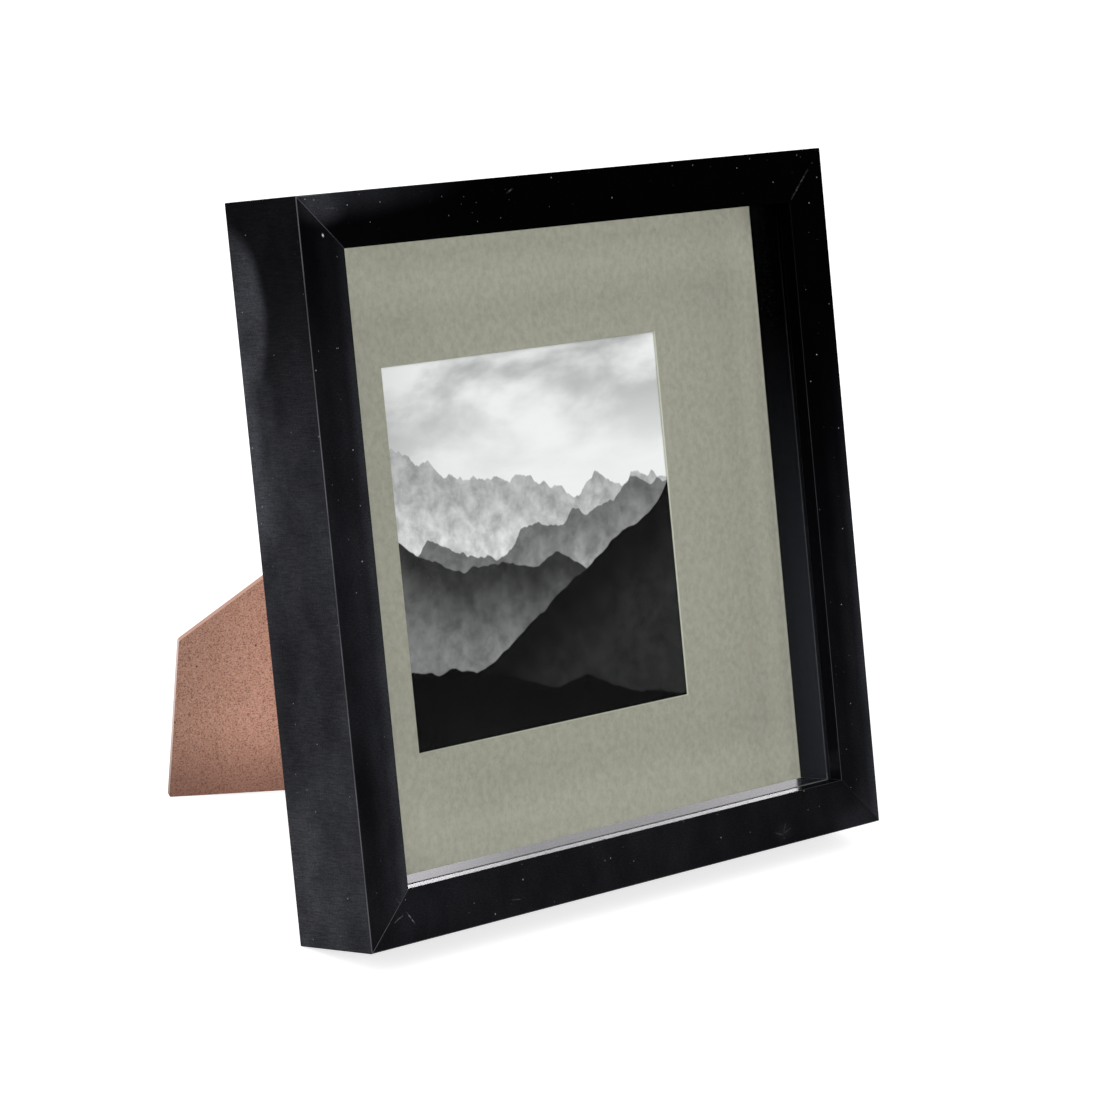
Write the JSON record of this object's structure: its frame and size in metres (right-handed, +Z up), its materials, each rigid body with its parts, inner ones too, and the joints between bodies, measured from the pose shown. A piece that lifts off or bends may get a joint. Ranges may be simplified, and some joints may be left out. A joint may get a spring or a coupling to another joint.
{
  "type": "shadow box frame",
  "caption": "Square deep-rebate shadow box frame leaning on a folding diagonal strut, with a glazed front, spacer ledge, window mount over a print, and a back panel held by turn tabs.",
  "frame": {"origin": "centre of the bounding box's bottom face, on the surface that the leaning frame and its strut stand on", "axes": "+X towards the frame's right as seen from the front, -Y the way the glass looks, +Z up; the frame leans back by 18.6 degrees"},
  "size_m": [0.286, 0.1814, 0.2844],
  "materials": {
    "rail_foil": "black satin foil wrapped round a wood-fibre moulding",
    "nail_steel": "plain bright steel",
    "glazing": "clear float glass",
    "spacer_strip": "black foil on a fibre strip",
    "mount_card": "matt sage green mount card with a pale core",
    "print_paper": "satin photographic paper, monochrome",
    "grey_card": "matt grey backing card",
    "hardboard": "smooth brown hardboard",
    "tab_steel": "zinc-plated sheet steel",
    "rivet_metal": "bright soft rivet metal"
  },
  "bodies": {
    "frame": {"rail_bottom": "rail_foil", "rail_left": "rail_foil", "rail_top": "rail_foil", "rail_right": "rail_foil", "corner_nail_bottom_left_outer": "nail_steel", "corner_nail_bottom_left_inner": "nail_steel", "corner_nail_top_left_outer": "nail_steel", "corner_nail_top_left_inner": "nail_steel", "corner_nail_top_right_outer": "nail_steel", "corner_nail_top_right_inner": "nail_steel", "corner_nail_bottom_right_outer": "nail_steel", "corner_nail_bottom_right_inner": "nail_steel", "glass_pane": "glazing", "spacer_bottom": "spacer_strip", "spacer_left": "spacer_strip", "spacer_top": "spacer_strip", "spacer_right": "spacer_strip", "window_mount": "mount_card", "print_sheet": "print_paper", "backing_card": "grey_card", "back_panel": "hardboard", "tab_rivet_bottom_near": "rivet_metal", "tab_rivet_bottom_far": "rivet_metal", "tab_rivet_left_near": "rivet_metal", "tab_rivet_left_far": "rivet_metal", "tab_rivet_top_left": "rivet_metal", "tab_rivet_top_right": "rivet_metal", "tab_rivet_right_upper": "rivet_metal", "tab_rivet_right_lower": "rivet_metal", "hanger_top": "tab_steel", "hanger_side": "tab_steel", "hanger_rivet_top_a": "rivet_metal", "hanger_rivet_top_b": "rivet_metal", "hanger_rivet_side_a": "rivet_metal", "hanger_rivet_side_b": "rivet_metal", "hinge_leaf_panel": "tab_steel", "hinge_pin": "nail_steel", "hinge_rivet_panel_a": "rivet_metal", "hinge_rivet_panel_b": "rivet_metal"},
    "strut": {"strut_board": "hardboard", "hinge_leaf_strut": "tab_steel", "hinge_rivet_strut_a": "rivet_metal", "hinge_rivet_strut_b": "rivet_metal"},
    "tab_bottom_near": {"turn_tab_bottom_near": "tab_steel"},
    "tab_bottom_far": {"turn_tab_bottom_far": "tab_steel"},
    "tab_left_near": {"turn_tab_left_near": "tab_steel"},
    "tab_left_far": {"turn_tab_left_far": "tab_steel"},
    "tab_top_left": {"turn_tab_top_left": "tab_steel"},
    "tab_top_right": {"turn_tab_top_right": "tab_steel"},
    "tab_right_upper": {"turn_tab_right_upper": "tab_steel"},
    "tab_right_lower": {"turn_tab_right_lower": "tab_steel"}
  },
  "joints": [
    {"name": "strut_fold", "type": "hinge", "parent": "frame", "child": "strut", "pos_m": [0.06732, 0.00838, 0.20201], "axis": [-0.7071, 0.2258, 0.6701], "range_deg": [0, 31.2]},
    {"name": "turn_bottom_near", "type": "hinge", "parent": "frame", "child": "tab_bottom_near", "pos_m": [-0.025, -0.05251, 0.02644], "axis": [0, 0.9477, -0.3193], "range_deg": [-90, 90]},
    {"name": "turn_bottom_far", "type": "hinge", "parent": "frame", "child": "tab_bottom_far", "pos_m": [0.085, -0.05251, 0.02644], "axis": [0, 0.9477, -0.3193], "range_deg": [-90, 90]},
    {"name": "turn_left_near", "type": "hinge", "parent": "frame", "child": "tab_left_near", "pos_m": [-0.1185, -0.02266, 0.11505], "axis": [0, 0.9477, -0.3193], "range_deg": [-90, 90]},
    {"name": "turn_left_far", "type": "hinge", "parent": "frame", "child": "tab_left_far", "pos_m": [-0.1185, 0.01246, 0.21929], "axis": [0, 0.9477, -0.3193], "range_deg": [-90, 90]},
    {"name": "turn_top_left", "type": "hinge", "parent": "frame", "child": "tab_top_left", "pos_m": [-0.07, 0.02316, 0.25104], "axis": [0, 0.9477, -0.3193], "range_deg": [-90, 90]},
    {"name": "turn_top_right", "type": "hinge", "parent": "frame", "child": "tab_top_right", "pos_m": [0.07, 0.02316, 0.25104], "axis": [0, 0.9477, -0.3193], "range_deg": [-90, 90]},
    {"name": "turn_right_upper", "type": "hinge", "parent": "frame", "child": "tab_right_upper", "pos_m": [0.1185, 0.00768, 0.20508], "axis": [0, 0.9477, -0.3193], "range_deg": [-90, 90]},
    {"name": "turn_right_lower", "type": "hinge", "parent": "frame", "child": "tab_right_lower", "pos_m": [0.1185, -0.03702, 0.0724], "axis": [0, 0.9477, -0.3193], "range_deg": [-90, 90]}
  ]
}
